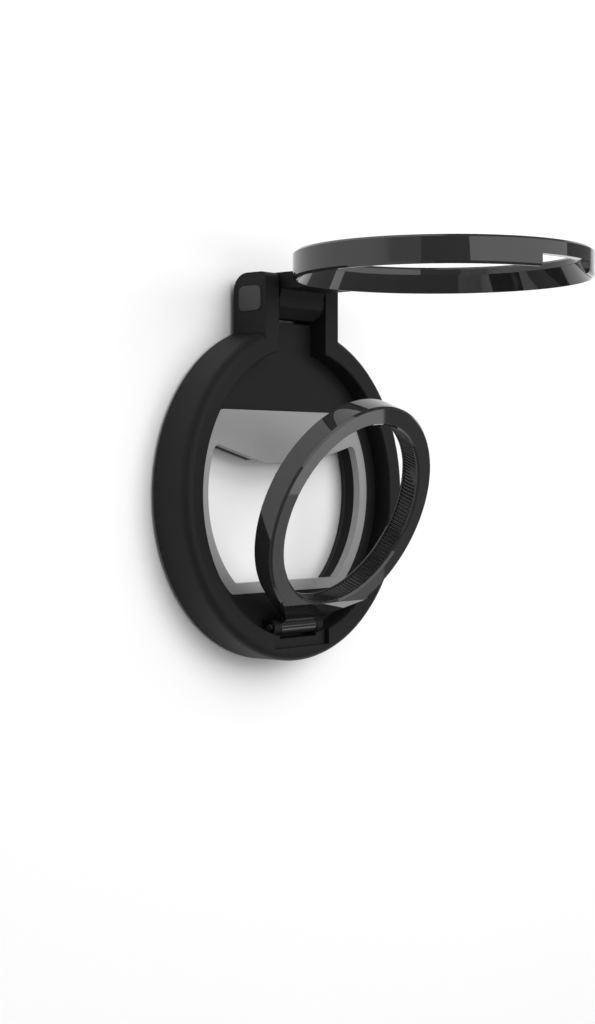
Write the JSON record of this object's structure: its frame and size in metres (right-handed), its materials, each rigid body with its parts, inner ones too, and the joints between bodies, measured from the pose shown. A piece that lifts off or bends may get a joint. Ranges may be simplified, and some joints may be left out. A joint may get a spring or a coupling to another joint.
{
  "type": "magnetic ring grip",
  "caption": "Round magnetic base with a hinged large ring to hang or prop a device by and a smaller hinged finger ring, both folding into a recess.",
  "frame": {"origin": "centre of the contact face on the back of the base", "axes": "+Z away from the contact face, +Y towards the hinge of the large ring, +X along both hinge pins"},
  "size_m": [0.0562, 0.0663, 0.0606],
  "materials": {
    "matte_black": "fine matte texture",
    "back_black": "matte",
    "grip_rubber": "soft matte",
    "steel": "turned",
    "satin_plate": "bead-blasted satin",
    "gunmetal": "polished dark metal",
    "dark_pin": "satin dark metal",
    "washer_black": "smooth",
    "magnet_nickel": "nickel plated"
  },
  "bodies": {
    "base": {"base_shell": "matte_black", "back_cover": "back_black", "grip_pad": "grip_rubber", "shield_ring": "steel", "magnet_01": "magnet_nickel", "magnet_02": "magnet_nickel", "magnet_03": "magnet_nickel", "magnet_04": "magnet_nickel", "magnet_05": "magnet_nickel", "magnet_06": "magnet_nickel", "magnet_07": "magnet_nickel", "magnet_08": "magnet_nickel", "magnet_09": "magnet_nickel", "magnet_10": "magnet_nickel", "magnet_11": "magnet_nickel", "magnet_12": "magnet_nickel", "magnet_13": "magnet_nickel", "magnet_14": "magnet_nickel", "magnet_15": "magnet_nickel", "magnet_16": "magnet_nickel", "window_plate": "satin_plate", "outer_hinge_pin": "dark_pin", "outer_washer_left": "washer_black", "outer_washer_right": "washer_black", "finger_hinge_pin": "steel", "finger_washer_left": "washer_black", "finger_washer_right": "washer_black"},
    "hanging_ring": {"outer_ring": "gunmetal", "hinge_knuckle": "matte_black"},
    "finger_grip": {"finger_ring": "gunmetal"}
  },
  "joints": [
    {"name": "hanging_hinge", "type": "hinge", "parent": "base", "child": "hanging_ring", "pos_m": [0, 0.0322, 0.0047], "axis": [-1, 0, 0], "range_deg": [-90, 20]},
    {"name": "finger_hinge", "type": "hinge", "parent": "base", "child": "finger_grip", "pos_m": [0, -0.0223, 0.006], "axis": [1, 0, 0], "range_deg": [-22.5, 87.5]}
  ]
}
